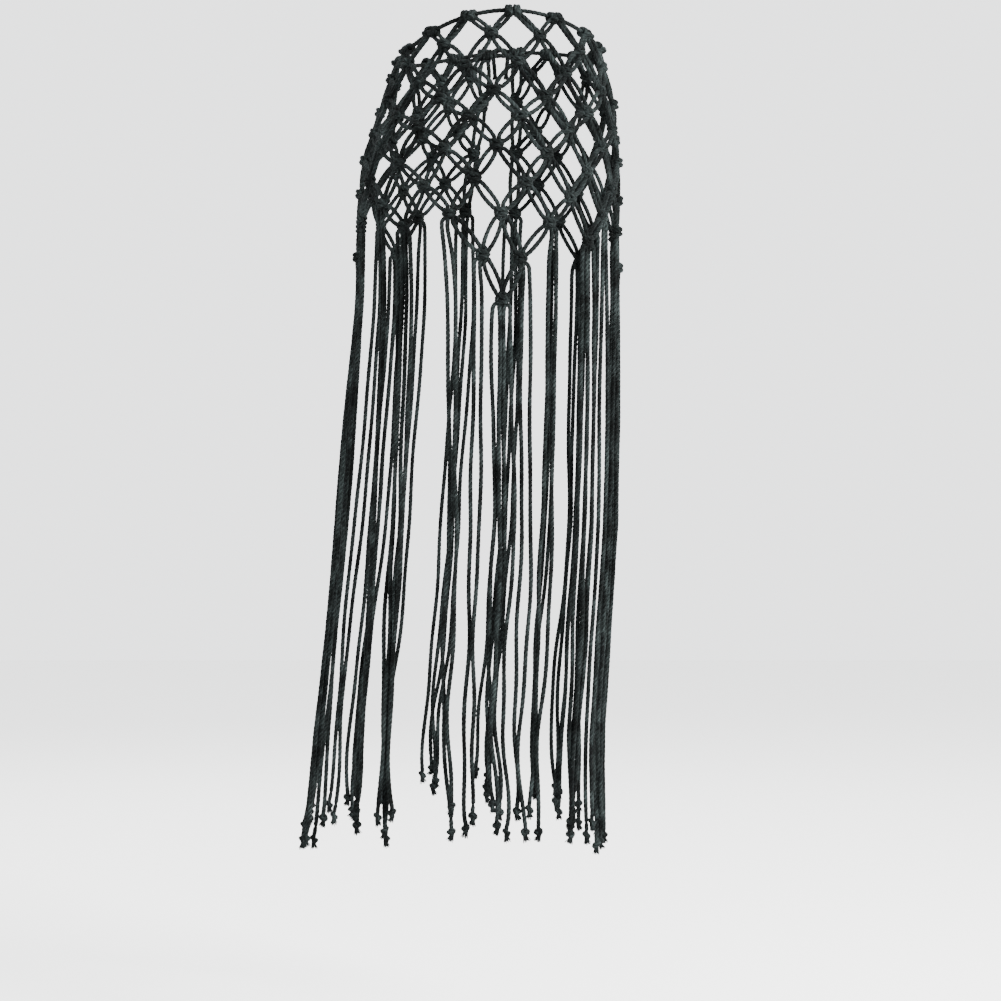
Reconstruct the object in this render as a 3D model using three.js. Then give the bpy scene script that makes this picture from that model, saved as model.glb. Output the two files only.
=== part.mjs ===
// Macrame fringe belt: a waist cord, a diamond net of doubled cords and square knots, and a long fringe.
// Millimetres, +Z up. The near side of the belt faces -Y.
// The origin is the middle of the ring that the waist cord makes round the hips.

import * as THREE from 'three';

// Driving sizes

const SEAM = 0.3;               // gap left between two pieces that touch
const CORD = 3.8;               // thickness of the cotton cord that the whole belt is knotted from
const PAIR_BOW = 4.5;           // how far the middle of a cord stands off the centre line of its pair
const REPEATS = 16;             // mounting knots round the waist cord
const COLUMN_STEP = 2 * Math.PI / (2 * REPEATS);
const LAST_COLUMN = REPEATS - 1;
const LAST_FULL_ROW = 5;        // below this row the net is only in its points
const COLOUR = 0x25292a;

// A square knot, seen from outside: half sizes of its outline, and how far it stands out
const KNOT = { halfWidth: 6.8, halfSide: 2.9, halfHeight: 7.4, halfNotch: 1.2, crownWidth: 4.3,
  crownHeight: 3.6, rise: 2.2, backRise: 0.7 };

// The general hips that the belt is worn on, by height
const HIPS = [
  { z: 30, halfWidth: 97, halfDepth: 119, centreX: 0 },
  { z: -10, halfWidth: 99, halfDepth: 123, centreX: 0 },
  { z: -66, halfWidth: 116, halfDepth: 134, centreX: -3 },
  { z: -116, halfWidth: 126, halfDepth: 142, centreX: -9 },
  { z: -165, halfWidth: 129, halfDepth: 146, centreX: -12 },
  { z: -260, halfWidth: 130, halfDepth: 148, centreX: -13 },
  { z: -480, halfWidth: 138, halfDepth: 152, centreX: -24 },
  { z: -680, halfWidth: 141, halfDepth: 157, centreX: -41 },
  { z: -850, halfWidth: 147, halfDepth: 161, centreX: -46 },
];

// How each row of knots lies: its mean drop below the ring, how much higher the near and far sides lie
// and how much lower the other two (saddle), how much higher the right side then is and how much lower
// the left (tilt), how far it leans round the near hip, and how much it is spread or drawn in there
const ROWS = [
  { row: -1, drop: 0, saddle: 12, tilt: 5.5, lean: -0.1, spread: 0.12 },
  { row: 0, drop: 22, saddle: 12.5, tilt: 4, lean: -0.085, spread: 0.2 },
  { row: 1, drop: 52, saddle: 13.5, tilt: 3, lean: -0.06, spread: 0.17 },
  { row: 2, drop: 81, saddle: 14.5, tilt: 1, lean: -0.025, spread: 0.12 },
  { row: 3, drop: 105, saddle: 15.5, tilt: -1, lean: 0.005, spread: 0.06 },
  { row: 4, drop: 136, saddle: 17, tilt: -3, lean: 0.045, spread: 0 },
  { row: 5, drop: 169, saddle: 18, tilt: -4, lean: 0.09, spread: -0.03 },
  { row: 6, drop: 201, saddle: 18, tilt: -4.5, lean: 0.1, spread: -0.05 },
  { row: 7, drop: 242, saddle: 18, tilt: -4, lean: 0.11, spread: -0.3 },
  { row: 8, drop: 284, saddle: 18, tilt: -2, lean: 0.115, spread: 0 },
];

// The points of the lower edge: one deep point on the near hip, shallow ones round the rest
const POINTS = [
  { column: 0, row: 8 },
  { column: -4, row: 6 }, { column: 4, row: 6 },
  { column: -8, row: 6 }, { column: 8, row: 6 },
  { column: -12, row: 6 }, { column: 12, row: 6 },
];

// The stretches of net that are separate solids, each a few columns wide
const PANELS = [
  { name: 'net_front', from: -2, to: 2 },
  { name: 'net_front_right', from: 3, to: 6 },
  { name: 'net_right', from: 7, to: 10 },
  { name: 'net_back_right', from: 11, to: 15 },
  { name: 'net_front_left', from: -6, to: -3 },
  { name: 'net_left', from: -10, to: -7 },
  { name: 'net_back_left', from: -15, to: -11 },
];

// The waist cord and the reef knot that closes it at the far side
const WAIST = { thickness: 4.6, sides: 8, steps: 32, inward: 1.5, endGap: 0.9 };
const TIE = { halfWidth: 9, halfHeight: 6.5, corner: 3, halfThickness: 5.5, endHalf: 1.9, endRoot: 4,
  endSpread: 5.5, endLength: 24 };

// The fringe: the head under each knot, then the sections of a strand from its root to its frayed end
const HEAD = { bottom: 12.5, rise: 0.4 };
// The near strands hang straighter than the leaning sides, those of the near left straightest of all, so
// they turn back round the hips on their way down
const HEM = { drop: 778, saddle: 14, tilt: -3, fullSpacing: 8.4, pairShift: 3, sway: 1.5, turnBack: 0.2,
  straightest: -0.45 };
const TRIM = [0, 13, -8, 5, -15, 10, -12];
// How far the strands under some columns drift round the hips on their way down, to the right positive
const DRIFT = [
  { column: -5, drift: 10 },
  { column: -2, drift: 12 },
  { column: -1, drift: -2 },
  { column: 2, drift: -9 },
];
const STRAND = [
  { along: 0.16, half: 1.8 },
  { along: 0.55, half: 1.8 },
  { along: 0.962, half: 1.8 },
  { along: 0.972, half: 3.8 },
  { along: 0.984, half: 2.2 },
  { along: 1, half: 3.4 },
];

// Places on the hips

function hipsAt(z) {
  const last = HIPS.length - 1;
  const below = Math.min(Math.max(HIPS.findIndex((level) => level.z <= z), 1), last);
  const upper = HIPS[below - 1];
  const lower = HIPS[below];
  const share = (upper.z - z) / (upper.z - lower.z);
  const mix = (key) => upper[key] + (lower[key] - upper[key]) * share;
  return { halfWidth: mix('halfWidth'), halfDepth: mix('halfDepth'), centreX: mix('centreX') };
}

function onHips(angle, z) {
  const level = hipsAt(z);
  return new THREE.Vector3(level.centreX + level.halfWidth * Math.sin(angle),
    -level.halfDepth * Math.cos(angle), z);
}

// A place has its point, and its right, up and outward directions as seen from outside
function place(angle, z) {
  const level = hipsAt(z);
  const right = new THREE.Vector3(level.halfWidth * Math.cos(angle), level.halfDepth * Math.sin(angle), 0);
  right.normalize();
  const climb = onHips(angle, z + 12).sub(onHips(angle, z - 12)).normalize();
  const out = new THREE.Vector3().crossVectors(right, climb).normalize();
  const up = new THREE.Vector3().crossVectors(out, right).normalize();
  return { angle, z, point: onHips(angle, z), right, up, out };
}

function offset(spot, along, above, outward) {
  return spot.point.clone().addScaledVector(spot.right, along)
    .addScaledVector(spot.up, above).addScaledVector(spot.out, outward);
}

function ringHeight(angle, { drop, saddle, tilt }) {
  return saddle * Math.cos(2 * angle) + tilt * Math.sin(angle) - drop;
}

function nearness(angle) {
  return (1 + Math.cos(angle)) / 2;
}

function knotPlace(row, column) {
  const drape = ROWS.find((entry) => entry.row === row);
  const turn = column * COLUMN_STEP;
  const angle = turn + drape.lean * nearness(turn) + drape.spread * Math.sin(turn);
  return place(angle, ringHeight(angle, drape));
}

// A body is one closed skin, built from corners that its faces share

class Body {
  constructor() {
    this.points = [];
    this.faces = [];
  }

  corner(point) {
    this.points.push(point.x, point.y, point.z);
    return this.points.length / 3 - 1;
  }

  triangle(a, b, c) {
    this.faces.push(a, b, c);
  }

  quad(a, b, c, d) {
    this.triangle(a, b, c);
    this.triangle(a, c, d);
  }

  // Side faces from one ring of corners to the next, both anticlockwise against the way of travel
  tube(from, to) {
    from.forEach((corner, k) => {
      const next = (k + 1) % from.length;
      this.quad(corner, from[next], to[next], to[k]);
    });
  }

  cap(ring) {
    for (let k = 1; k < ring.length - 1; k++) {
      this.triangle(ring[0], ring[k], ring[k + 1]);
    }
  }

  // A plate with the given outline, thin at its edge and raised at its middle on both sides
  plate(spot, outline, halfEdge, openEdges, frontCrown, backRise, lift = 0) {
    const front = outline.map(([x, y]) => this.corner(offset(spot, x, y, lift + halfEdge)));
    const back = outline.map(([x, y]) => this.corner(offset(spot, x, y, lift - halfEdge)));
    const share = 1 / outline.length;
    const middle = outline.reduce((sum, [x, y]) => [sum[0] + x * share, sum[1] + y * share], [0, 0]);
    const centre = this.corner(offset(spot, middle[0], middle[1], lift - halfEdge - backRise));
    outline.forEach((_, k) => {
      const next = (k + 1) % outline.length;
      this.triangle(back[next], back[k], centre);
      if (!openEdges.includes(k)) {
        this.quad(front[k], back[k], back[next], front[next]);
      }
    });
    frontCrown(front, middle);
    return { front, back };
  }

  mesh(name) {
    const geometry = new THREE.BufferGeometry();
    geometry.setAttribute('position', new THREE.Float32BufferAttribute(this.points, 3));
    geometry.setIndex(this.faces);
    geometry.computeVertexNormals();
    const material = new THREE.MeshStandardMaterial({ color: COLOUR, roughness: 0.95, metalness: 0 });
    const mesh = new THREE.Mesh(geometry, material);
    mesh.name = name;
    return mesh;
  }
}

// Knots

// The outline of a knot, anticlockwise from its right side. Each corner has three points, so that
// two cords leave it side by side
const { halfWidth, halfSide, halfHeight, halfNotch } = KNOT;
const CORNER_X = (halfWidth + halfNotch) / 2;
const CORNER_Y = (halfSide + halfHeight) / 2;
const KNOT_OUTLINE = [
  [halfWidth, -halfSide],
  [halfWidth, halfSide], [CORNER_X, CORNER_Y], [halfNotch, halfHeight],
  [-halfNotch, halfHeight], [-CORNER_X, CORNER_Y], [-halfWidth, halfSide],
  [-halfWidth, -halfSide], [-CORNER_X, -CORNER_Y], [-halfNotch, -halfHeight],
  [halfNotch, -halfHeight], [CORNER_X, -CORNER_Y],
];
const PORTS = { upRight: [1, 2, 3], upLeft: [4, 5, 6], downLeft: [7, 8, 9], downRight: [10, 11, 0] };

function addKnot(knot) {
  const { body, spot, lift } = knot;
  const open = Object.keys(PORTS).filter((port) => knot.used.has(port))
    .flatMap((port) => PORTS[port].slice(0, 2));
  const halfEdge = CORD / 2;
  const crown = (front) => {
    const top = [[1, 1], [-1, 1], [-1, -1], [1, -1]].map(([x, y]) => body.corner(
      offset(spot, x * KNOT.crownWidth, y * KNOT.crownHeight, lift + halfEdge + KNOT.rise)));
    Object.values(PORTS).forEach(([first, second, third], k) => {
      const after = PORTS[Object.keys(PORTS)[(k + 1) % 4]][0];
      body.triangle(top[k], front[first], front[second]);
      body.triangle(top[k], front[second], front[third]);
      body.quad(top[k], front[third], front[after], top[(k + 1) % 4]);
    });
    body.quad(...top);
  };
  Object.assign(knot, body.plate(spot, KNOT_OUTLINE, halfEdge, open, crown, KNOT.backRise, lift));
}

// The four corners where one cord of a pair leaves a knot, anticlockwise as seen from outside the knot
function portRing(knot, port, which) {
  const first = PORTS[port][which];
  const second = PORTS[port][which + 1];
  return [knot.front[first], knot.back[first], knot.back[second], knot.front[second]];
}

const backwards = (ring) => ring.slice().reverse();

// Links between knots

// The middle of a link, with its own directions: along the cords, and across them
function linkMiddle(from, to) {
  const spot = place((from.spot.angle + to.spot.angle) / 2, (from.spot.z + to.spot.z) / 2);
  const along = to.spot.point.clone().sub(from.spot.point).normalize();
  const across = new THREE.Vector3().crossVectors(spot.out, along).normalize();
  return { spot, along, across, lift: (from.lift + to.lift) / 2 };
}

// A ring of corners across a cord at the middle of its link. Each row gives a step across and a side
function middleRing(body, middle, steps, shift) {
  return steps.map(([across, side]) => body.corner(middle.spot.point.clone()
    .addScaledVector(middle.across, across)
    .addScaledVector(middle.spot.out, middle.lift + side * CORD / 2)
    .addScaledVector(middle.along, shift)));
}

// Joins two knots by one cord, or by two halves that meet at a seam where the knots are in two solids
function addCord(from, to, middle, steps, startRing, endRing) {
  if (from.body === to.body) {
    const ring = middleRing(from.body, middle, steps, 0);
    from.body.tube(startRing, ring);
    from.body.tube(ring, endRing);
    return;
  }
  const upper = middleRing(from.body, middle, steps, -SEAM / 2);
  from.body.tube(startRing, upper);
  from.body.cap(upper);
  const lower = middleRing(to.body, middle, steps, SEAM / 2);
  to.body.tube(lower, endRing);
  to.body.cap(backwards(lower));
}

function addLink({ from, to, leaves, enters }) {
  const middle = linkMiddle(from, to);
  const half = CORD / 2;
  if (from.row === -1 && to.row === 0) {
    // The first pairs are short and lie side by side, so they are one flat band
    const start = [...portRing(from, leaves, 0).slice(0, 3), ...portRing(from, leaves, 1).slice(2)];
    start.push(from.front[PORTS[leaves][1]]);
    const end = [...portRing(to, enters, 0).slice(0, 3), ...portRing(to, enters, 1).slice(2)];
    end.push(to.front[PORTS[enters][1]]);
    const [a, b, c, d, e, f] = backwards(end);
    const steps = [[-CORD, 1], [-CORD, -1], [0, -1], [CORD, -1], [CORD, 1], [0, 1]];
    addCord(from, to, middle, steps, start, [b, c, d, e, f, a]);
    return;
  }
  for (const which of [0, 1]) {
    const centre = which === 0 ? -PAIR_BOW : PAIR_BOW;
    const steps = [[centre - half, 1], [centre - half, -1], [centre + half, -1], [centre + half, 1]];
    const first = portRing(from, leaves, which);
    const last = backwards(portRing(to, enters, 1 - which));
    addCord(from, to, middle, steps, first, last);
  }
}

// The net

function isKnot(row, column) {
  if ((row - column) % 2 !== 0 || row < -1 || Math.abs(column) > LAST_COLUMN) {
    return false;
  }
  return row <= LAST_FULL_ROW
    || POINTS.some((tip) => Math.abs(column - tip.column) <= tip.row - row);
}

function makeNet() {
  const bodies = new Map(PANELS.map((panel) => [panel.name, new Body()]));
  const knots = new Map();
  for (const { row } of ROWS) {
    for (let column = -LAST_COLUMN; column <= LAST_COLUMN; column++) {
      if (isKnot(row, column)) {
        const panel = PANELS.find((entry) => column >= entry.from && column <= entry.to);
        const lift = row === -1 ? WAIST.thickness / 2 - WAIST.inward + SEAM + KNOT.backRise + CORD / 2 : 0;
        knots.set(`${row},${column}`, { row, column, spot: knotPlace(row, column), lift,
          body: bodies.get(panel.name), used: new Set() });
      }
    }
  }

  const links = [];
  const join = (from, to, leaves, enters) => {
    if (to) {
      links.push({ from, to, leaves, enters });
      from.used.add(leaves);
      to.used.add(enters);
    }
  };
  for (const knot of knots.values()) {
    const { row, column } = knot;
    join(knot, knots.get(`${row + 1},${column - 1}`), 'downLeft', 'upRight');
    join(knot, knots.get(`${row + 1},${column + 1}`), 'downRight', 'upLeft');
    if (Math.abs(column) === LAST_COLUMN) {
      // At the two ends of the strip the outer pair runs straight to the knot two rows below
      const side = Math.sign(column) > 0 ? 'Right' : 'Left';
      join(knot, knots.get(`${row + 2},${column}`), `down${side}`, `up${side}`);
    }
  }
  knots.forEach(addKnot);
  links.forEach(addLink);
  return { knots: [...knots.values()], meshes: [...bodies].map(([name, body]) => body.mesh(name)) };
}

// The fringe

// One strand, from the ring of its root down to its frayed end
function addStrand(body, rootRing, spot, rootAlong, endAlong, length, phase) {
  let ring = rootRing;
  for (const section of STRAND) {
    const sway = HEM.sway * Math.sin(phase + 5 * section.along) * section.along;
    const along = rootAlong + (endAlong - rootAlong) * Math.sqrt(section.along) + sway;
    const turn = along / Math.hypot(hipsAt(spot.z).halfWidth * Math.cos(spot.angle),
      hipsAt(spot.z).halfDepth * Math.sin(spot.angle));
    const back = HEM.turnBack * section.along * nearness(spot.angle - HEM.straightest) ** 2;
    const here = place(spot.angle + turn + back, spot.z - HEAD.bottom - length * section.along);
    const { half } = section;
    const next = [[-half, half], [-half, -half], [half, -half], [half, half]].map(([x, out]) => body.corner(
      here.point.clone().addScaledVector(here.right, x).addScaledVector(here.out, out)));
    body.tube(ring, next);
    ring = next;
  }
  body.cap(ring);
}

// The strands that hang from one knot: their head lies close under the knot's free corners
function makeFringe(knot, index) {
  const freeLeft = !knot.used.has('downLeft');
  const freeRight = !knot.used.has('downRight');
  const body = new Body();
  const slope = Math.hypot(CORNER_X - halfWidth, CORNER_Y - halfSide);
  const gapX = SEAM * (halfHeight - halfSide) / (2 * slope);
  const gapY = SEAM * (halfWidth - halfNotch) / (2 * slope);
  const outer = [halfWidth + gapX, -halfSide - gapY];
  const inner = [halfNotch + gapX, -halfHeight - gapY];
  const flip = ([x, y]) => [-x, y];
  const bottom = -HEAD.bottom;
  let outline;
  if (freeLeft && freeRight) {
    const roots = [-2, -1, 0, 1, 2].map((k) => [k * CORD, bottom]);
    outline = [...roots, outer, inner, flip(inner), flip(outer)];
  } else {
    const start = freeRight ? halfNotch : -halfNotch - 2 * CORD;
    const roots = [0, 1, 2].map((k) => [start + k * CORD, bottom]);
    outline = [...roots, ...(freeRight ? [outer, inner] : [flip(inner), flip(outer)])];
  }
  const strands = freeLeft && freeRight ? 4 : 2;
  const open = [...Array(strands).keys()];
  const crown = (front, middle) => {
    const centre = body.corner(offset(knot.spot, middle[0], middle[1], CORD / 2 + HEAD.rise));
    front.forEach((corner, k) => body.triangle(corner, front[(k + 1) % front.length], centre));
  };
  const { front, back } = body.plate(knot.spot, outline, CORD / 2, open, crown, HEAD.rise);

  const { angle, z } = knot.spot;
  const side = strands === 4 ? 0 : Math.sign(freeRight ? 1 : -1);
  const drift = DRIFT.find((entry) => entry.column === knot.column)?.drift ?? 0;
  const middle = side * (halfNotch + CORD + HEM.pairShift) + drift;
  for (const k of open) {
    const root = (outline[k][0] + outline[k + 1][0]) / 2;
    const end = middle + (k - (strands - 1) / 2) * HEM.fullSpacing;
    const hem = ringHeight(angle, HEM) + TRIM[(index * 2 + k) % TRIM.length];
    addStrand(body, [front[k], back[k], back[k + 1], front[k + 1]], knot.spot, root, end,
      z - HEAD.bottom - hem, index + k * 0.4);
  }
  const hand = knot.column > 0 ? 'right' : 'left';
  return body.mesh(knot.column === 0 ? 'fringe_middle' : `fringe_${hand}_${Math.abs(knot.column)}`);
}

// The waist cord and its tie

function makeWaistCord() {
  const body = new Body();
  const end = Math.PI - (TIE.halfWidth + WAIST.endGap) / HIPS[1].halfWidth;
  let ring = null;
  for (let step = 0; step <= WAIST.steps; step++) {
    const angle = -end + 2 * end * step / WAIST.steps;
    const spot = place(angle, ringHeight(angle, ROWS[0]));
    const next = [];
    for (let k = 0; k < WAIST.sides; k++) {
      const round = 2 * Math.PI * k / WAIST.sides;
      next.push(body.corner(offset(spot, 0, WAIST.thickness / 2 * Math.cos(round),
        WAIST.thickness / 2 * Math.sin(round) - WAIST.inward)));
    }
    if (ring) {
      body.tube(ring, next);
    } else {
      body.cap(backwards(next));
    }
    ring = next;
  }
  body.cap(ring);
  return body.mesh('waist_cord');
}

function makeTie() {
  const body = new Body();
  const spot = place(Math.PI, ringHeight(Math.PI, ROWS[0]));
  const { halfWidth: w, halfHeight: h, corner: c, endHalf: e, endRoot: root } = TIE;
  const outline = [[-root - e, -h], [e - root, -h], [root - e, -h], [root + e, -h], [w, c - h], [w, h - c],
    [w - c, h], [c - w, h], [-w, h - c], [-w, c - h]];
  const crown = (front, middle) => {
    const centre = body.corner(offset(spot, middle[0], middle[1], TIE.halfThickness));
    front.forEach((corner, k) => body.triangle(corner, front[(k + 1) % front.length], centre));
  };
  const { front, back } = body.plate(spot, outline, 2 * e, [0, 2], crown, TIE.halfThickness - 2 * e);
  for (const [k, x] of [[0, -TIE.endSpread], [2, TIE.endSpread]]) {
    const tip = [[x - e, e], [x - e, -e], [x + e, -e], [x + e, e]].map(([along, out]) => body.corner(
      offset(spot, along, -h - TIE.endLength, out)));
    body.tube([front[k], back[k], back[k + 1], front[k + 1]], tip);
    body.cap(tip);
  }
  return body.mesh('waist_tie');
}

const net = makeNet();
const fringed = net.knots.filter((knot) => !knot.used.has('downLeft') || !knot.used.has('downRight'));
fringed.sort((one, two) => one.column - two.column);

const group = new THREE.Group();
group.add(makeWaistCord(), makeTie(), ...net.meshes, ...fringed.map(makeFringe));

export default group;
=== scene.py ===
# %% [markdown]
# # A macrame fringe belt
#
# The belt is nothing but cotton cord. One cord goes round the waist. Thirty-two long cords are folded in
# half over it and knotted with square knots into a net of doubled cords, and below the last knots their
# ends hang free as a fringe. So this lesson models the belt the way it is made: every cord is a path, and
# a path becomes a rope of three twisted plies. First the frame is opened, which holds the plain solids
# that the real cords are fitted to.

# %% Open the frame
import math
import random

import bmesh
import bpy
import numpy as np
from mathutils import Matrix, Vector


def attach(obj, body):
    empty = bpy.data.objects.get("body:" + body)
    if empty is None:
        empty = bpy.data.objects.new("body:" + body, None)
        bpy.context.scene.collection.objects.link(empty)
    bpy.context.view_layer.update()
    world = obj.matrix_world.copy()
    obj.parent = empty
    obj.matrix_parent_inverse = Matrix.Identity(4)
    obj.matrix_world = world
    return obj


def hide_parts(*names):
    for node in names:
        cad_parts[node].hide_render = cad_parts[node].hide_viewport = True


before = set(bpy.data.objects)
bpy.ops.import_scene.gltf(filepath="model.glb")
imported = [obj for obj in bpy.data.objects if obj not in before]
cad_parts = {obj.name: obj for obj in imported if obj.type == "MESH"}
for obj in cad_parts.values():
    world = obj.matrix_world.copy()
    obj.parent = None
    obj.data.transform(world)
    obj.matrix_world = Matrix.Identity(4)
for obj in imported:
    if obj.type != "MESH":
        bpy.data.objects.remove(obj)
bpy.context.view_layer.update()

MM = 0.001
dice = random.Random(11)
# the range that a wave's start is drawn from
ANY_PHASE = (0, 6.28)
print("solids in the frame:", len(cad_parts))

# %% [markdown]
# ## Camera
#
# The camera is set before anything is modelled, so each test picture can be compared with the photograph.
# It looks level along +Y, a little below the middle of the belt. It stands far enough away that the near
# knots are only a little larger than the far ones.

# %% Camera
CAMERA_DISTANCE = 2.6
CAMERA_HEIGHT = -0.456
PICTURE_WIDTH = 1.001
SENSOR_WIDTH = 36.0

camera_data = bpy.data.cameras.new("camera")
camera_data.sensor_width = SENSOR_WIDTH
camera_data.lens = SENSOR_WIDTH * CAMERA_DISTANCE / PICTURE_WIDTH
camera = bpy.data.objects.new("camera", camera_data)
camera.location = (0, -CAMERA_DISTANCE, CAMERA_HEIGHT)
camera.rotation_euler = (math.radians(90), 0, 0)
bpy.context.collection.objects.link(camera)
bpy.context.scene.camera = camera
print("lens in mm:", round(camera_data.lens, 1))

# %% [markdown]
# ## The hips
#
# The belt hangs on a plain pair of hips, given as a stack of ellipses. A place on them is an angle round
# the body and a height. Each place also knows which way is right, up and out, so a knot can be laid out
# flat on paper and then put anywhere. Lengths are in millimetres, and angles in radians.

# %% The hips
# height, half width, half depth, middle in x
HIPS = [
    (30, 97, 119, 0),
    (-10, 99, 123, 0),
    (-66, 116, 134, -3),
    (-116, 126, 142, -9),
    (-165, 129, 146, -12),
    (-260, 130, 148, -13),
    (-480, 138, 152, -24),
    (-680, 141, 157, -41),
    (-850, 147, 161, -46),
]

# how far above and below a place its slope is measured
CLIMB_STEP = 12


def hips_at(z):
    heights = [-level[0] for level in HIPS]
    return [np.interp(-z, heights, [level[k] for level in HIPS]) for k in (1, 2, 3)]


def on_hips(angle, z):
    half_width, half_depth, middle = hips_at(z)
    return Vector((middle + half_width * math.sin(angle), -half_depth * math.cos(angle), z))


class Place:
    def __init__(self, angle, z, turn=0.0):
        half_width, half_depth, _ = hips_at(z)
        self.angle, self.z = angle, z
        self.point = on_hips(angle, z)
        right = Vector((half_width * math.cos(angle), half_depth * math.sin(angle), 0)).normalized()
        climb = on_hips(angle, z + CLIMB_STEP) - on_hips(angle, z - CLIMB_STEP)
        self.out = right.cross(climb).normalized()
        up = self.out.cross(right)
        self.right = right * math.cos(turn) + up * math.sin(turn)
        self.up = up * math.cos(turn) - right * math.sin(turn)

    def at(self, right, up, out):
        return self.point + self.right * right + self.up * up + self.out * out


# %% [markdown]
# ## The rows of knots
#
# The knots stand like the black squares of a chessboard, so the neighbours of a knot are one row up or down
# and one column to the side. Each row hangs a little lower than the one above, and rises and falls round
# the body. The upper rows go all round, up to a slit at the far side where the two ends of the net hang
# below the tie. Below them only the points of the lower edge go on.

# %% The rows of knots
REPEATS = 16
COLUMN_STEP = math.pi / REPEATS
LAST_COLUMN = REPEATS - 1
LAST_FULL_ROW = 5
# how far a knot may sit askew, in degrees
KNOT_TURN = (-6, 6)

# row: mean drop below the waist cord, how much higher the near and far sides lie and how much lower the
# other two, how much higher the right side then is and how much lower the left, lean round the near hip,
# spread there
ROWS = {
    -1: (0, 12, 5.5, -0.1, 0.12),
    0: (22, 12.5, 4, -0.085, 0.2),
    1: (52, 13.5, 3, -0.06, 0.17),
    2: (81, 14.5, 1, -0.025, 0.12),
    3: (105, 15.5, -1, 0.005, 0.06),
    4: (136, 17, -3, 0.045, 0),
    5: (169, 18, -4, 0.09, -0.03),
    6: (201, 18, -4.5, 0.1, -0.05),
    7: (242, 18, -4, 0.11, -0.3),
    8: (284, 18, -2, 0.115, 0),
}

# column and row of each point of the lower edge
POINTS = [(0, 8), (-4, 6), (4, 6), (-8, 6), (8, 6), (-12, 6), (12, 6)]


def ring_height(angle, drop, saddle, tilt, *_):
    return saddle * math.cos(2 * angle) + tilt * math.sin(angle) - drop


def nearness(angle):
    return (1 + math.cos(angle)) / 2


def knot_place(row, column):
    lean, spread = ROWS[row][3:]
    turn = column * COLUMN_STEP
    angle = turn + lean * nearness(turn) + spread * math.sin(turn)
    return Place(angle, ring_height(angle, *ROWS[row]), math.radians(dice.uniform(*KNOT_TURN)))


def is_knot(row, column):
    if (row - column) % 2 or abs(column) > LAST_COLUMN:
        return False
    return row <= LAST_FULL_ROW or any(abs(column - c) <= r - row for c, r in POINTS)


knots = {}
for row in ROWS:
    for column in range(-LAST_COLUMN, LAST_COLUMN + 1):
        if is_knot(row, column):
            knots[row, column] = knot_place(row, column)
print("knots:", len(knots))

# %% [markdown]
# ## The route of a cord through a knot
#
# In a square knot two cords run straight down the middle and the outer two wrap them. The left one passes
# in front twice, which makes the two bars that are seen. The right one passes behind twice and comes
# forward at the left as one small bump that locks the bars. Each of these cords is drawn once as a short
# list of points, in millimetres to the right, up and out, and reused at every crossing. The mounting is a
# lark's head: the folded cord goes over the waist cord and its two legs come back through the fold.

# %% Knot routes
# each table goes down the knot: right, up, out
FRONT_WORKER = [
    (-5.4, 4.4, 0.2), (-4.4, 3.5, 1.6), (-2.5, 2.6, 3.6), (0, 2.3, 4.1), (2.5, 2.0, 3.5), (4.7, 1.3, 1.4),
    (5.2, 0, 0.2),
    (4.7, -1.3, 1.4), (2.5, -2.0, 3.5), (0, -2.3, 4.1), (-2.5, -2.6, 3.6), (-4.4, -3.5, 1.6),
    (-5.4, -4.4, 0.2),
]
BACK_WORKER = [
    (5.4, 4.4, 0), (4.6, 3.6, -1.2), (2.6, 2.6, -3.0), (0, 2.1, -3.5), (-2.7, 1.8, -2.8), (-5.2, 1.4, -0.4),
    (-5.6, 0.7, 2.4), (-5.0, 0, 3.9), (-5.6, -0.7, 2.4),
    (-5.2, -1.4, -0.4), (-2.7, -1.8, -2.8), (0, -2.1, -3.5), (2.6, -2.6, -3.0), (4.6, -3.6, -1.2),
    (5.4, -4.4, 0),
]
FILLER = [
    (2.6, 6.5, 0), (2.0, 4.2, 0.1), (1.75, 1.6, 0.2), (1.75, -1.6, 0.2), (2.0, -4.2, 0.1), (2.6, -6.5, 0),
]

# how far each of the two cords of a mounting lies from the middle of the mounting
MOUNT_MIDDLE = 3.9
# half of a lark's head, from the foot of one leg to the middle of the bar: sideways, up, out
LARKS_HEAD = [
    (1.5, -6.4, 0.6), (1.5, -4.0, 1.8), (1.5, -1.2, 2.6), (1.5, 1.6, 2.1), (1.5, 4.0, -0.4),
    (1.5, 3.2, -4.1), (1.7, 0.0, -5.6), (2.0, -2.9, -3.9), (2.3, -3.9, -0.6), (2.0, -3.3, 3.6),
    (0.8, -2.7, 5.5),
]


def knot_route(place, side, lane):
    """The points of one cord in a square knot. side is the side of its pair, lane its place in the pair."""
    if side == lane:
        table = FRONT_WORKER if side < 0 else BACK_WORKER
        return [place.at(*step) for step in table]
    return [place.at(side * right, up, out) for right, up, out in FILLER]


def mount_route(place, side):
    """The points of a folded cord over the waist cord, from its left leg to its right leg."""
    half = [(-x, up, out) for x, up, out in LARKS_HEAD]
    route = half + [(-x, up, out) for x, up, out in reversed(half)]
    return [place.at(side * MOUNT_MIDDLE + x, up, out) for x, up, out in route]


# %% [markdown]
# ## The route of a cord through the net
#
# A pair of cords leaves a knot on one side, drops to the next row, and enters the knot there on the other
# side, so it zigzags down the net. Between two knots the cords of a pair bow apart like the edges of a
# leaf. No two leaves are alike in hand work, so each gets its own width from a seeded random number.

# %% Links between knots
# half the width of a leaf, and of the narrower ones below the waist cord
LINK_BOW = (3.3, 5.3)
FIRST_BOW = (2.0, 3.0)
# how far the middle of a cord stands off the hips
SLACK = (-0.6, 1.4)
# the outline of a leaf: share of its length, share of its width
LEAF = [(0.14, 0.62), (0.3, 0.9), (0.5, 1.0), (0.7, 0.9), (0.86, 0.62)]


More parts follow.
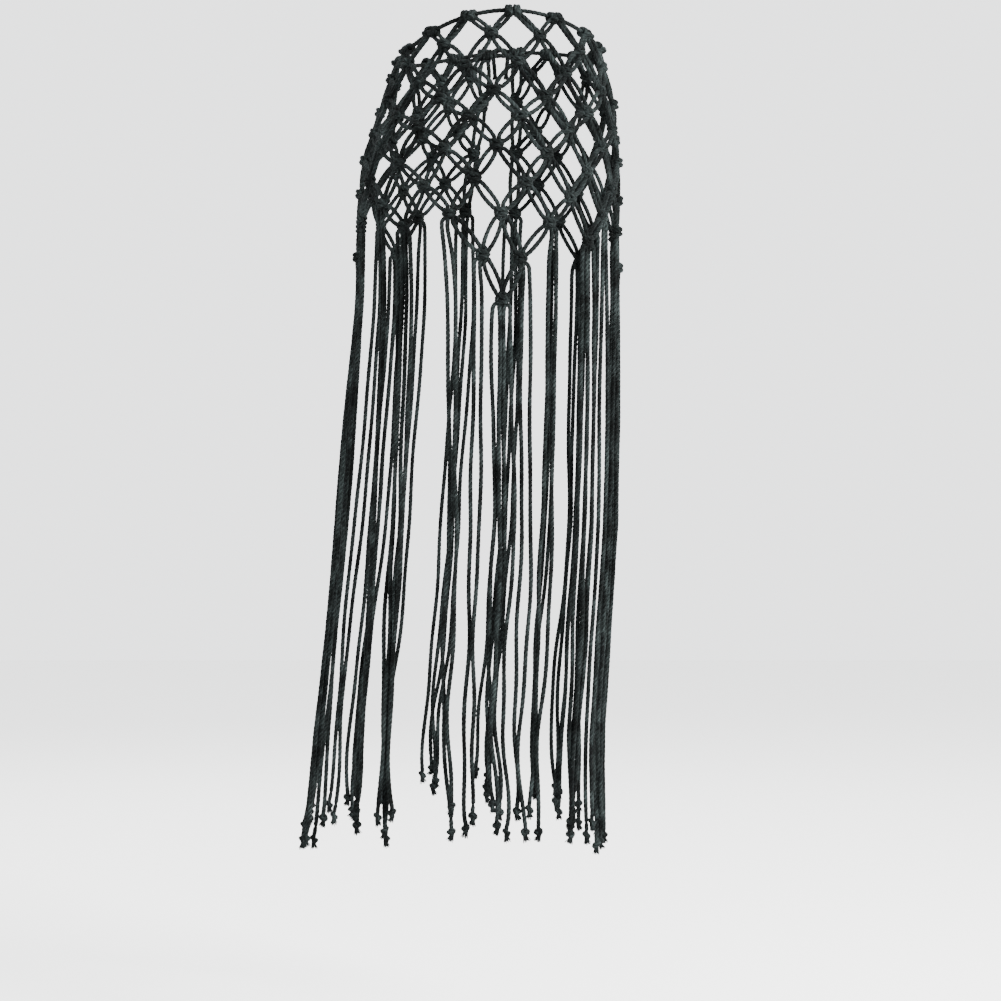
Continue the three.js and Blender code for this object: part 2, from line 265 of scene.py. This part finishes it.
def next_stop(row, column, side):
    """Where a pair goes when it leaves a knot: the next knot, and the side that it is on there."""
    if (row + 1, column + side) in knots:
        return row + 1, column + side, -side
    if column * side == LAST_COLUMN and (row + 2, column) in knots:
        # at the two ends of the net the outer pair runs straight to the knot two rows below
        return row + 2, column, side
    return None


def link_routes(start, end, first):
    """The middle points of both cords of a link, by lane."""
    along = (end.point - start.point).normalized()
    routes = {}
    for lane in (-1, 1):
        bow = dice.uniform(*(FIRST_BOW if first else LINK_BOW)) * lane
        slack = dice.uniform(*SLACK)
        routes[lane] = []
        for share, width in LEAF:
            angle = start.angle + (end.angle - start.angle) * share
            here = Place(angle, start.z + (end.z - start.z) * share)
            across = here.out.cross(along).normalized()
            out = slack * math.sin(math.pi * share)
            routes[lane].append(here.point + across * bow * width + here.out * out)
    return routes


def pair_routes(column, side):
    """Follows a pair from its mounting to its last knot. Gives both routes, and where they end."""
    routes = {-1: [], 1: []}
    row, here_column, here_side = -1, column, side
    while True:
        stop = next_stop(row, here_column, here_side)
        if stop is None:
            return routes, (row, here_column, here_side)
        start, end = knots[row, here_column], knots[stop[0], stop[1]]
        middle = link_routes(start, end, row == -1 and stop[0] == 0)
        for lane in (-1, 1):
            routes[lane] += middle[lane] + knot_route(end, stop[2], lane)
        row, here_column, here_side = stop


pairs = {}
for row, column in [key for key in knots if key[0] == -1]:
    for side in (-1, 1):
        pairs[column, side] = pair_routes(column, side)
print("pairs of cords:", len(pairs))

# %% [markdown]
# ## Smooth paths
#
# The points of a route are the corners of a loose polygon. A cubic B-spline rounds it off without ever
# swinging wide, which is how a soft cord behaves. Long straight stretches get fewer points than bends, so
# the mesh stays light.

# %% Smooth paths
# the steps along a path where it bends and where it is straight, and what counts as a bend
FINE_STEP = 1.35
LONG_STEP = 2.7
BEND = 0.03
# points closer together than this are left out
CLOSEST = 0.25


def smooth(points):
    """Points on a cubic B-spline, close together where it bends. Returns the points as an array."""
    corners = np.array([points[0]] * 2 + list(points) + [points[-1]] * 2, dtype=float)
    made = []
    for k in range(len(corners) - 3):
        a, b, c, d = corners[k:k + 4]
        length = np.linalg.norm((b + 4 * c + d) - (a + 4 * b + c)) / 6
        bend = 0.0
        for edge in (b - a, d - c):
            size = np.linalg.norm(edge) * np.linalg.norm(c - b)
            if size > 1e-9:
                bend = max(bend, 1 - float(edge @ (c - b)) / size)
        step = FINE_STEP if bend > BEND else LONG_STEP
        count = max(1, round(length / step))
        for t in np.arange(count) / count:
            made.append((a * (1 - t) ** 3 + b * (3 * t ** 3 - 6 * t ** 2 + 4)
                         + c * (-3 * t ** 3 + 3 * t ** 2 + 3 * t + 1) + d * t ** 3) / 6)
    made.append(corners[-1])
    made = np.array(made)
    keep = np.r_[True, np.linalg.norm(np.diff(made, axis=0), axis=1) > CLOSEST]
    return made[keep]


# %% [markdown]
# ## Twisted plies
#
# Blender's curve bevel sweeps a section along each path. The section has three lobes, one for each ply, and
# a steady tilt along the path lays them round each other, so the twist is real geometry. The curve is made
# a mesh, and its UV map is rescaled so that one unit along is one metre on every cord. Thin fibres are
# swept the same way, with a plain square section.

# %% Section and sweep
# the length of cord in which a ply goes once round
LAY_LENGTH = 15.0
SECTION_POINTS = 9
PLIES = 3
# how deep the grooves between the plies are, as a share of the radius
PLY_DEPTH = 0.13
ROPE_RADIUS = 2.25


def section_curve(radius):
    """The section of a rope: a closed curve with a groove between each two plies."""
    data = bpy.data.curves.new("section", "CURVE")
    data.dimensions = "2D"
    spline = data.splines.new("POLY")
    spline.points.add(SECTION_POINTS - 1)
    spline.use_cyclic_u = True
    for k in range(SECTION_POINTS):
        turn = -2 * math.pi * k / SECTION_POINTS
        size = radius * (1 - PLY_DEPTH if k % (SECTION_POINTS // PLIES) == 0 else 1)
        spline.points[k].co = (size * math.cos(turn), size * math.sin(turn), 0, 1)
    return bpy.data.objects.new("section", data)


def swept(paths, section=None, radius=0.0):
    """A mesh of every path, swept with the section, or with a square one of this radius."""
    data = bpy.data.curves.new("sweep", "CURVE")
    data.dimensions = "3D"
    data.use_fill_caps = True
    holder = bpy.data.objects.new("sweep", data)
    bpy.context.collection.objects.link(holder)
    if section:
        bpy.context.collection.objects.link(section)
        data.bevel_mode = "OBJECT"
        data.bevel_object = section
    else:
        data.bevel_depth = radius
        data.bevel_resolution = 0
    sides = SECTION_POINTS if section else 4
    # the end caps come first in the mesh, then every ring of points in the order of the paths
    along = [np.zeros(2 * sides * len(paths))]
    for path, sizes in paths:
        spline = data.splines.new("POLY")
        spline.points.add(len(path) - 1)
        run = np.r_[0, np.cumsum(np.linalg.norm(np.diff(path, axis=0), axis=1))]
        spline.points.foreach_set("co", np.c_[path, np.ones(len(path))].astype(np.float32).ravel())
        spline.points.foreach_set("tilt", (run * 2 * math.pi / (LAY_LENGTH * MM)).astype(np.float32))
        spline.points.foreach_set("radius", np.asarray(sizes, dtype=np.float32))
        along.append(np.repeat(run, sides))
    graph = bpy.context.evaluated_depsgraph_get()
    mesh = bpy.data.meshes.new_from_object(holder.evaluated_get(graph), depsgraph=graph)
    bpy.data.objects.remove(holder)
    corners = np.empty(len(mesh.loops), dtype=np.int32)
    mesh.loops.foreach_get("vertex_index", corners)
    uv = np.empty((len(mesh.loops), 2), dtype=np.float32)
    mesh.uv_layers[0].uv.foreach_get("vector", uv.ravel())
    uv[:, 0] = np.concatenate(along)[corners]
    mesh.uv_layers[0].uv.foreach_set("vector", uv.ravel())
    if section:
        bpy.context.collection.objects.unlink(section)
    return mesh


# %% [markdown]
# ## A piece of rope
#
# Many cords are joined in one mesh, with their frayed fibres, so the belt stays a few pieces. The end caps
# are merged with the walls, which closes each cord. A piece stays at the origin, with its place in its
# mesh, as the solids of the frame do.

# %% Rope pieces
# how much the thickness wobbles, and the two slow waves of the wobble, in radians a step
UNEVEN = 0.035
WOBBLES = (0.23, 0.071)


def uneven_sizes(path):
    """A spun cord is never quite even: a slow wobble in thickness along the path."""
    start = dice.uniform(*ANY_PHASE)
    fast, slow = WOBBLES
    return [1 + UNEVEN * math.sin(start + fast * k) * math.cos(slow * k) for k in range(len(path))]


rope_section = section_curve(ROPE_RADIUS * MM)


def rope_piece(name, routes, fibres=()):
    """One object of ropes, with thin fibres joined to it. Routes are in millimetres."""
    paths = [smooth(route) * MM for route in routes]
    mesh = swept([(path, uneven_sizes(path)) for path in paths], rope_section)
    shape = bmesh.new()
    shape.from_mesh(mesh)
    if fibres:
        thin = swept(fibres, radius=FIBRE_RADIUS * MM)
        shape.from_mesh(thin)
        bpy.data.meshes.remove(thin)
    bmesh.ops.remove_doubles(shape, verts=shape.verts, dist=1e-7)
    for face in shape.faces:
        face.smooth = True
    shape.to_mesh(mesh)
    shape.free()
    mesh.name = name
    piece = bpy.data.objects.new(name, mesh)
    bpy.context.collection.objects.link(piece)
    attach(piece, "root")
    return piece


# %% [markdown]
# ## The net
#
# The two cords of a pair are one long cord, folded at the waist cord. So each route runs up one leg,
# over the waist cord, and down the other. The net is made in two halves, near and far, to keep each mesh
# light.

# %% Net
# the last column that the near half takes in on each side
NEAR_COLUMNS = 7


def net_half(name, columns, nodes):
    routes = []
    for (column, side), (legs, _) in pairs.items():
        if column in columns:
            mount = mount_route(knots[-1, column], side)
            routes.append(list(reversed(legs[-1])) + mount + legs[1])
    half = rope_piece(name, routes)
    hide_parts(*nodes)
    return half


every_column = range(-LAST_COLUMN, LAST_COLUMN + 1)
near = net_half("net_near", [c for c in every_column if abs(c) <= NEAR_COLUMNS],
                ["net_front", "net_front_left", "net_front_right"])
far = net_half("net_far", [c for c in every_column if abs(c) > NEAR_COLUMNS],
               ["net_right", "net_left", "net_back_right", "net_back_left"])
for half in (near, far):
    print(half.name, "faces:", len(half.data.polygons))

# %% [markdown]
# ## The waist cord
#
# The waist cord is tied at the far side with a reef knot: two loops, each round the legs of the other.
# Both halves of the knot share one list of points, the second turned half a turn about the upright. The
# tails are trimmed short.

# %% Waist cord and reef knot
# how far inside the mountings the waist cord lies
WAIST_INWARD = 1.5
WAIST_STEPS = 48
# the ring stops this angle short of the middle of the knot on both sides
TIE_REACH = 0.15
# half of the reef knot, from the waist cord to the end of a tail: right, up, out
REEF = [
    (-9.0, 1.8, -1.5), (-5.6, 1.7, -2.0), (-2.4, 2.0, -0.4), (0.6, 2.8, 1.2), (3.6, 3.5, 1.0),
    (6.3, 2.4, -1.4), (6.9, 0, -2.8), (6.3, -2.4, -1.4),
    (3.6, -3.5, 1.0), (0.6, -2.8, 1.2), (-2.4, -2.0, -0.4), (-5.6, -2.0, -1.6), (-7.6, -4.8, -0.6),
    (-7.0, -10.0, 0.6), (-6.2, -17.0, 0.4), (-5.8, -24.0, 0.0),
]


def waist_route():
    tie = Place(math.pi, ring_height(math.pi, *ROWS[-1]))
    coming = [tie.at(x, up, out - WAIST_INWARD) for x, up, out in REEF]
    going = [tie.at(-x, up, -out - WAIST_INWARD) for x, up, out in REEF]
    ring = []
    for step in range(WAIST_STEPS + 1):
        angle = -math.pi + TIE_REACH + 2 * (math.pi - TIE_REACH) * step / WAIST_STEPS
        here = Place(angle, ring_height(angle, *ROWS[-1]))
        ring.append(here.at(0, 0, -WAIST_INWARD))
    return list(reversed(going)) + ring + coming


# %% [markdown]
# ## Frayed ends
#
# Where a cord is cut its plies open into loose fibres. Some dozens of thin tapered fibres, each leaning
# its own way, are enough to read as a tuft at this size.

# %% Fibres
FIBRE_RADIUS = 0.34
FIBRES = 48
TUFT_RADIUS = 1.8
TUFT_LENGTH = 6.5
WAIST_TUFT_LENGTH = 5
# how far back in the cord the fibres start
TUFT_ROOT = 1.2
# the turn from one fibre to the next, which spreads them evenly over the end
FIBRE_TURN = 2.4
# ranges: how far a fibre leans out, how long it is, and how far it strays sideways
LEAN, REACH, STRAY = (0.2, 1.6), (0.7, 1.1), (-1.4, 1.4)
# the shares of a fibre where its path has a point, and its thickness there
FIBRE_SHARES = (0, 0.35, 0.7, 1)
FIBRE_SIZES = [1.0, 1.0, 0.9, 0.5]


def tuft(end, direction, length=TUFT_LENGTH):
    """Thin tapered fibres that open out from the end of a cord."""
    direction = Vector(direction).normalized()
    side = direction.orthogonal().normalized()
    other = direction.cross(side)
    made = []
    for k in range(FIBRES):
        turn = FIBRE_TURN * k
        root = TUFT_RADIUS * math.sqrt((k + 0.5) / FIBRES)
        lean = root * dice.uniform(*LEAN)
        reach = length * dice.uniform(*REACH)
        outward = side * math.cos(turn) + other * math.sin(turn)
        aside = (side * math.sin(turn) - other * math.cos(turn)) * dice.uniform(*STRAY)
        path = []
        for share in FIBRE_SHARES:
            out = outward * (root + lean * share ** 1.4) + aside * share ** 2
            path.append(Vector(end) + out + direction * (reach * share - TUFT_ROOT))
        made.append((np.array(path) * MM, FIBRE_SIZES))
    return made


route = waist_route()
tails = tuft(route[0], route[0] - route[1], WAIST_TUFT_LENGTH)
tails += tuft(route[-1], route[-1] - route[-2], WAIST_TUFT_LENGTH)
waist = rope_piece("waist_rope", [route], tails)
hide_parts("waist_cord", "waist_tie")
print("waist rope faces:", len(waist.data.polygons))

# %% [markdown]
# Laid flat, the whole net is a strip 0.19 m wide with one deep and six shallow points below it. Round the
# body it takes up 0.84 m, with the slit between its two ends.

# %% [markdown]
# ## The fringe
#
# Below the last knots the same cords hang down. Each strand starts inside its knot, where the net's own
# cord ends. The fillers of a knot drop straight down, but the workers leave it sideways and turn down over
# a small shoulder. Each strand has its own length and its own slight wave, from a few sums of sines.

# %% How the strands hang
# the width of a cord
CORD = 3.8
# how far below the middle of its knot a strand hangs free
HEAD_BOTTOM = 12.5
# the hem, given like a row of knots: mean drop, near and far sides higher, right side higher
HEM = (778, 14, -3)
# how much above the hem each strand in turn ends
TRIM = [0, 13, -8, 5, -15, 10, -12]
# a worker's shoulder at the foot of its knot: right, up, out, and how much of the way to its place the
# worker has gone when it comes off the shoulder
SHOULDER = (8.3, -5.4, 0.9)
SHOULDER_SHARE = 0.95
# where four strands hang under a knot: the two workers bow out, the two fillers stay together
FOUR_ACROSS = (-10.8, -2.4, 2.4, 10.8)
# where a pair hangs that leaves its knot alone: its middle, the gap in it, and its shift on the way down
PAIR_MIDDLE = 1.2 + CORD
PAIR_GAP = 8.8
PAIR_SHIFT = 0.5
# each strand hangs a little nearer or farther out than that, by a factor in this range
SPACING = (0.85, 1.1)
# the share of a strand's length in which it comes from its root to its place
OPENING = 0.022
# near strands hang straight, so they turn back round the hips, most of all at the angle STRAIGHTEST
TURN_BACK = 0.2
STRAIGHTEST = -0.45
# how far the strands under some columns drift round the hips on their way down
DRIFT = {-5: 10, -2: 12, -1: -2, 2: -9}
# a strand's wave: its height, the slow and the quick part in radians over the length, and the quick
# part's share. It grows on the way down, and more so at the free end.
WAVE = 1.3
SLOW, QUICK = 13, 31
QUICK_SHARE = 0.6
FREE_END = 1.6
# how strands under one knot draw together here and there, and how far they cross near their ends
GATHER = 0.12
GATHER_WAVE = 9
CROSSING = (0, 1.1)
# in and out: a wave, every second strand behind its neighbour, and the left ends swung outwards
DEPTH_WAVE = 1.2
DEEP = 11
BESIDE = 2.1
LEFT_SWING = 9.0

# %% [markdown]
# Near its end each strand has a small overhand knot, which keeps the plies together. Its route is a short
# list of points again, turned and mirrored at random. Below it the tip is frayed, like the waist cord's.

# %% One strand
STRAND_STEPS = 30
# the end knot: its place as a share of the length, the stretch above it that has no points, its size
KNOT_AT = 0.978
ABOVE_KNOT = 0.02
KNOT_SIZE = 0.8
# an overhand knot in a hanging cord, from above it to below it: right, up, out
OVERHAND = [
    (0, 7.0, 0), (0.2, 3.6, -0.5), (0.7, 0.6, -1.1), (0.8, -2.2, -0.4), (-0.4, -3.5, 1.8),
    (-2.9, -2.2, 2.2), (-3.5, 0.4, 0.0), (-2.2, 2.3, -2.5), (0.8, 2.7, -3.2), (3.2, 1.3, -1.7),
    (3.2, -0.6, 1.6), (0.9, -0.9, 3.2), (-1.0, -0.6, 1.4), (-1.0, -3.0, -0.9), (-0.4, -4.8, -0.4),
]


def strand_route(knot, k, count, lean, hem, drift, is_worker):
    """Strand k of the count under a knot, down to its tip. lean is the side of a pair that hangs alone."""
    length = knot.z - HEAD_BOTTOM - hem
    hung = FOUR_ACROSS[k] if count == 4 else (k - 0.5) * PAIR_GAP
    hung *= dice.uniform(*SPACING)
    root = SHOULDER_SHARE * hung if is_worker else (k - (count - 1) / 2) * CORD
    # the fourth phase is drawn but not used, so that every later strand keeps its own numbers
    slow, quick, deep, _, gather = [dice.uniform(*ANY_PHASE) for _ in range(5)]
    crossing = dice.uniform(*CROSSING)
    half_width, half_depth, _ = hips_at(knot.z)
    radius = math.hypot(half_width * math.cos(knot.angle), half_depth * math.sin(knot.angle))

    def place_at(share):
        """The place on the hips at a share of the length, and how far out the strand hangs there."""
        step = root + (hung - root) * (1 - math.exp(-share / OPENING))
        wave = math.sin(slow + SLOW * share) + QUICK_SHARE * math.sin(quick + QUICK * share)
        wave *= WAVE * (math.sqrt(share) + FREE_END * share ** 4)
        shift = (lean * PAIR_SHIFT + drift) * math.sqrt(share)
        closing = 1 - GATHER + GATHER * math.cos(gather + GATHER_WAVE * share) - crossing * share ** 3
        turn = (lean * PAIR_MIDDLE + shift + step * closing + wave) / radius
        turn += TURN_BACK * share * nearness(knot.angle - STRAIGHTEST) ** 2
        depth = DEPTH_WAVE * math.sin(deep + DEEP * share) * math.sqrt(share)
        depth += BESIDE * (1 if k % 2 else -1) * min(1, 4 * share)
        depth += LEFT_SWING * share ** 14 * max(0, -math.sin(knot.angle)) ** 8
        return Place(knot.angle + turn, knot.z - HEAD_BOTTOM - length * share), depth

    route = []
    for step in range(STRAND_STEPS):
        here, depth = place_at((KNOT_AT - ABOVE_KNOT) * step / (STRAND_STEPS - 1))
        route.append(here.at(0, 0, depth))
    here, depth = place_at(KNOT_AT)
    flip = dice.choice((-1, 1))
    spin = dice.uniform(*ANY_PHASE)
    for x, up, out in OVERHAND:
        x, out = x * KNOT_SIZE * flip, out * KNOT_SIZE
        route.append(here.at(x * math.cos(spin) - out * math.sin(spin), up * KNOT_SIZE,
                             depth + x * math.sin(spin) + out * math.cos(spin)))
    return route


# %% [markdown]
# The strands under one knot make one piece, named after the column of the knot. Two pairs end in a point
# of the lower edge or at an end of the net, and one pair in each knot on the slopes between them.

# %% Every strand
ended = {}
for legs, (row, column, side) in pairs.values():
    ended.setdefault((row, column), {})[side] = legs

strand_objects = []
for order, (row, column) in enumerate(sorted(ended, key=lambda key: key[1])):
    knot = knots[row, column]
    cords = [(side, lane) for side in sorted(ended[row, column]) for lane in (-1, 1)]
    routes, fibres = [], []
    for k, (side, lane) in enumerate(cords):
        is_worker = side == lane
        lean = 0 if len(cords) == 4 else side
        hem = ring_height(knot.angle, *HEM) + TRIM[(2 * order + k) % len(TRIM)]
        hang = strand_route(knot, k, len(cords), lean, hem, DRIFT.get(column, 0), is_worker)
        shoulder = [knot.at(side * SHOULDER[0], *SHOULDER[1:])] if is_worker else []
        routes.append(ended[row, column][side][lane][-2:] + shoulder + hang)
        fibres += tuft(hang[-1], hang[-1] - hang[-2])
    label = "middle" if column == 0 else f"{'right' if column > 0 else 'left'}_{abs(column)}"
    piece = rope_piece(f"strands_{label}", routes, fibres)
    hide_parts(f"fringe_{label}")
    strand_objects.append(piece)
print("fringe pieces:", len(strand_objects), "faces:", sum(len(p.data.polygons) for p in strand_objects))
bpy.data.objects.remove(rope_section)

# %% [markdown]
# ## Cotton
#
# Dyed cotton cord is matte. Its colour is nearly black. The faint cold green where the light catches the
# fuzz is painted into the colour as a painted highlight. Two things make it read as cotton: painted shade
# in the grooves between the plies, and fine fibres that run along each ply. Both follow the UV map, which
# the sweep
# has already wound round with the plies: U runs along a cord and V round it. A small class wraps a socket
# so that shader maths can be written as sums.

# %% A small way to write shader maths

class Socket:
    """One output of a node. Sums with it add Math nodes."""

    def __init__(self, tree, output):
        self.tree, self.output = tree, output

    def maths(self, operation, *values):
        """A Math node with these values or sockets as its inputs, in order."""
        node = self.tree.nodes.new("ShaderNodeMath")
        node.operation = operation
        for slot, value in zip(node.inputs, values):
            if isinstance(value, Socket):
                self.tree.links.new(value.output, slot)
            else:
                slot.default_value = value
        return Socket(self.tree, node.outputs[0])

    def __add__(self, other):
        return self.maths("ADD", self, other)

    def __radd__(self, other):
        return self.maths("ADD", other, self)

    def __sub__(self, other):
        return self.maths("SUBTRACT", self, other)

    def __rsub__(self, other):
        return self.maths("SUBTRACT", other, self)

    def __mul__(self, other):
        return self.maths("MULTIPLY", self, other)

    def __rmul__(self, other):
        return self.maths("MULTIPLY", other, self)

    def cosine(self):
        return self.maths("COSINE", self)

    def node(self, kind, settings=(), out=0, **inputs):
        """Any other node: settings first, then its sockets by identifier or name."""
        made = self.tree.nodes.new(kind)
        for key, value in dict(settings).items():
            setattr(made, key, value)
        by_name = {slot.name: slot for slot in reversed(made.inputs)}
        by_name.update({slot.identifier: slot for slot in made.inputs})
        for key, value in inputs.items():
            slot = by_name[key]
            if isinstance(value, Socket):
                self.tree.links.new(value.output, slot)
            else:
                slot.default_value = value
        return Socket(self.tree, made.outputs[out])


# %% [markdown]
# The three slots share one recipe and differ a little in how dark they are: the fringe is a touch lighter
# than the net, and the waist cord a touch darker. Fibres, fuzz and uneven dye are three noises of random
# tone that add up to one light value, and the grooves between the plies darken it as painted shade. Its
# square keeps most of the cord deep and paints highlights on a few fibres.

# %% Cotton material
DARK_COTTON = (0.0002, 0.0002, 0.0002)
# the colour of the lightest fibres and patches: partly their own tone, partly a painted highlight with the
# cold green of light on the fuzz
LIGHT_TONE_AND_PAINTED_HIGHLIGHT = (0.024, 0.031, 0.0305)
SHEEN_TINT = (0.55, 0.66, 0.64, 1)
# streaks of fibre to a metre of cord, and once round it
FIBRES_ALONG = 240.0
FIBRES_ROUND = 40.0
FUZZ_SCALE = 1100.0
DYE_SCALE = 45.0
# how strongly each noise shows, and the light value around which they play
FIBRE_CONTRAST, FUZZ_CONTRAST, DYE_CONTRAST = 3.0, 1.2, 1.8
MIDDLE_LIGHT = 0.4
# painted shade: what is left of the light at the bottom of a groove, painted into the colour
PAINTED_GROOVE_LIGHT = 0.3


def cotton(name, lightness):
    material = bpy.data.materials.new(name)
    material.use_nodes = True
    tree = material.node_tree
    shader = tree.nodes["Principled BSDF"]
    start = Socket(tree, None)
    uv = start.node("ShaderNodeUVMap", {"uv_map": "UVMap"})
    place = start.node("ShaderNodeTexCoord", out="Object")
    fibre_size = (FIBRES_ALONG, FIBRES_ROUND, 1)
    stretched = start.node("ShaderNodeMapping", Vector=uv, Scale=fibre_size)
    fibres = start.node("ShaderNodeTexNoise", Vector=stretched, Scale=1.0, Detail=3.0, Roughness=0.6)
    fuzz = start.node("ShaderNodeTexNoise", Vector=place, Scale=FUZZ_SCALE, Detail=3.0, Roughness=0.7)
    dye = start.node("ShaderNodeTexNoise", Vector=place, Scale=DYE_SCALE, Detail=3.0)
    round_cord = start.node("ShaderNodeSeparateXYZ", out="Y", Vector=uv)
    # 0 in the grooves between the plies and 1 on their crests: it paints shade into the grooves and shapes
    # the bump
    ply = 0.5 - 0.5 * (round_cord * (2 * math.pi * PLIES)).cosine()
    ply = start.maths("SQRT", ply)
    streaks = FIBRE_CONTRAST * (fibres - 0.5) + FUZZ_CONTRAST * (fuzz - 0.5) + DYE_CONTRAST * (dye - 0.5)
    light = start.maths("MAXIMUM", MIDDLE_LIGHT + streaks, 0.0)
    # painted shade darkens the grooves between the plies, and the square of the light value paints
    # highlights on a few fibres
    light = (PAINTED_GROOVE_LIGHT + (1 - PAINTED_GROOVE_LIGHT) * ply) * light * light
    deep, lit = [tuple(v * lightness for v in colour) + (1,) for colour in (DARK_COTTON, LIGHT_TONE_AND_PAINTED_HIGHLIGHT)]
    colour = start.node("ShaderNodeMix", {"data_type": "RGBA"}, out=2, Factor_Float=light,
                        A_Color=deep, B_Color=lit)
    tree.links.new(colour.output, shader.inputs["Base Color"])
    height = ply * 0.5 + fibres * 0.8 + fuzz * 0.4
    bump = start.node("ShaderNodeBump", Strength=0.9, Distance=0.0006, Height=height)
    tree.links.new(bump.output, shader.inputs["Normal"])
    shader.inputs["Roughness"].default_value = 0.9
    shader.inputs["Specular IOR Level"].default_value = 0.04
    shader.inputs["Sheen Weight"].default_value = 0.015
    shader.inputs["Sheen Roughness"].default_value = 0.5
    shader.inputs["Sheen Tint"].default_value = SHEEN_TINT
    return material


net_cotton = cotton("net_cotton", 1.0)
waist_cotton = cotton("waist_cotton", 0.85)
fringe_cotton = cotton("fringe_cotton", 1.1)
for half in (near, far):
    half.data.materials.append(net_cotton)
waist.data.materials.append(waist_cotton)
for piece in strand_objects:
    piece.data.materials.append(fringe_cotton)

# %% [markdown]
# ## Floor and light
#
# A pale floor that runs into a pale world, one large soft light from the upper right, and weaker ones from
# the front left and from behind, so the dark cords keep a shape.

# %% Floor and light
FLOOR_HEIGHT = -0.985
FLOOR_HALF = 6
# all lamps point at this place, a little above the middle of the belt
LAMPS_AIM = (0, 0, -0.35)

floor_shape = bmesh.new()
bmesh.ops.create_grid(floor_shape, x_segments=1, y_segments=1, size=FLOOR_HALF)
bmesh.ops.translate(floor_shape, verts=floor_shape.verts, vec=(0, 0, FLOOR_HEIGHT))
floor_mesh = bpy.data.meshes.new("floor")
floor_shape.to_mesh(floor_mesh)
floor_shape.free()
floor = bpy.data.objects.new("floor", floor_mesh)
bpy.context.collection.objects.link(floor)
floor_paint = bpy.data.materials.new("floor_paint")
floor_paint.use_nodes = True
floor_shader = floor_paint.node_tree.nodes["Principled BSDF"]
floor_shader.inputs["Base Color"].default_value = (0.9, 0.9, 0.89, 1)
floor_shader.inputs["Roughness"].default_value = 0.8
floor_mesh.materials.append(floor_paint)

world = bpy.data.worlds.new("world")
world.use_nodes = True
sky = world.node_tree.nodes["Background"]
sky.inputs["Color"].default_value = (0.93, 0.94, 0.95, 1)
sky.inputs["Strength"].default_value = 2.8
bpy.context.scene.world = world

# name, place, size in metres, power in watts
LIGHTS = [
    ("key", (2.2, -1.7, 0.9), 1.2, 460),
    ("fill", (-0.6, -2.6, 0.2), 1.8, 20),
    ("back", (-0.6, 2.0, 1.2), 1.5, 60),
]
for name, where, size, power in LIGHTS:
    lamp = bpy.data.lights.new(name, "AREA")
    lamp.size = size
    lamp.energy = power
    light = bpy.data.objects.new(name, lamp)
    light.location = where
    light.rotation_euler = (Vector(LAMPS_AIM) - Vector(where)).to_track_quat("-Z", "Y").to_euler()
    bpy.context.collection.objects.link(light)
